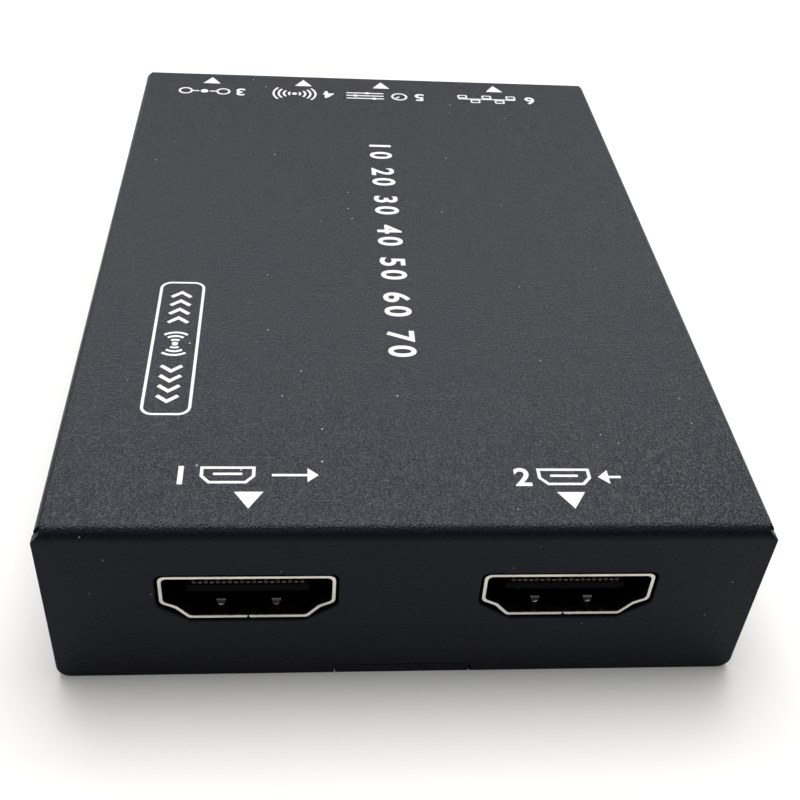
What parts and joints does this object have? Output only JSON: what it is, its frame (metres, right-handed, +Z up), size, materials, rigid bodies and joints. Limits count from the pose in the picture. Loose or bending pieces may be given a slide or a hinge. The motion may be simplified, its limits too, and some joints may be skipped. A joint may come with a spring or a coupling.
{
  "type": "hdmi extender",
  "caption": "Flat black folded-steel video extender box with two video sockets in front and power, infrared, service and network sockets at the rear.",
  "frame": {"origin": "middle of the underside, on the surface that the box stands on", "axes": "+Z up, the face with the two video sockets toward -Y, the face with the power and network sockets toward +Y, +X to the right seen from the front"},
  "size_m": [0.0604, 0.0864, 0.018],
  "materials": {
    "powder_coat": "black powder coat with a fine sandy texture",
    "black_screw": "blackened steel",
    "nickel_plate": "nickel plate, satin, slightly warm",
    "zinc_steel": "zinc-plated steel",
    "gold_contact": "thin gold plate",
    "black_moulding": "glass-filled black plastic",
    "chip_moulding": "moulded epoxy",
    "board_laminate": "black solder mask over glass laminate",
    "light_pipe": "milky clear plastic",
    "sink_aluminium": "extruded, clear",
    "pad_silicone": "soft silicone",
    "can_aluminium": "drawn aluminium can",
    "ferrite": "dark ferrite",
    "ceramic_body": "fired ceramic with tinned ends"
  },
  "bodies": {
    "root": {"cover": "powder_coat", "base_plate": "powder_coat", "case_screws": "black_screw", "board_standoffs": "zinc_steel", "board_screws": "zinc_steel", "circuit_board": "board_laminate", "left_video_shell": "nickel_plate", "left_video_insulator": "black_moulding", "left_video_contacts": "gold_contact", "right_video_shell": "nickel_plate", "right_video_insulator": "black_moulding", "right_video_contacts": "gold_contact", "network_shield": "nickel_plate", "network_housing": "black_moulding", "network_contacts": "gold_contact", "network_light_pipes": "light_pipe", "power_housing": "black_moulding", "power_pin": "nickel_plate", "power_spring": "nickel_plate", "infrared_housing": "black_moulding", "infrared_sleeve": "nickel_plate", "infrared_springs": "gold_contact", "service_shell": "nickel_plate", "service_tongue": "black_moulding", "service_contacts": "gold_contact", "main_processor": "chip_moulding", "thermal_pad": "pad_silicone", "heat_sink": "sink_aluminium", "network_transformer": "chip_moulding", "splitter_chip": "chip_moulding", "controller_chip": "chip_moulding", "voltage_regulators": "chip_moulding", "power_inductors": "ferrite", "storage_capacitors": "can_aluminium", "crystals": "nickel_plate", "ceramic_parts": "ceramic_body"}
  },
  "joints": []
}
